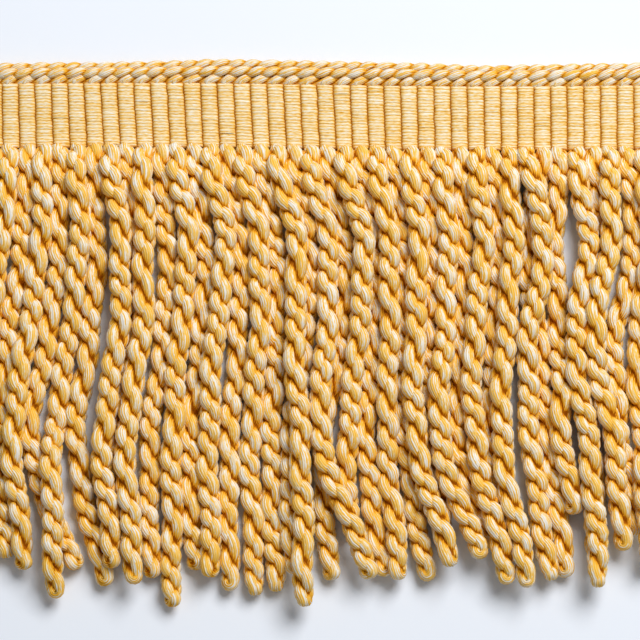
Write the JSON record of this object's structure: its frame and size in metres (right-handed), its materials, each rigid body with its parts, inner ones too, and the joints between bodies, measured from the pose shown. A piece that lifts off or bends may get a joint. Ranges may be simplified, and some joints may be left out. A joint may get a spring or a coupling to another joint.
{
  "type": "cord fringe trim",
  "caption": "Flat length of upholstery fringe: a woven ribbed heading with a corded top edge and long twisted cords hanging in loops from its ribs.",
  "frame": {"origin": "middle of the heading's flat back, on the surface that the trim lies on", "axes": "+X along the trim, +Y across it towards the corded top edge with the hanging cords towards -Y, +Z out of the face"},
  "size_m": [0.1739, 0.1372, 0.0101],
  "materials": {
    "heading_yarn": "matt gold and cream warp threads over ribs",
    "edging_yarn": "matt two-ply gold and cream yarn",
    "cord_yarn": "matt cabled gold, cream and white yarn"
  },
  "bodies": {
    "root": {"heading": "heading_yarn", "edging_inner": "edging_yarn", "edging_ridge": "edging_yarn", "edging_outer": "edging_yarn", "fringe": "cord_yarn"}
  },
  "joints": []
}
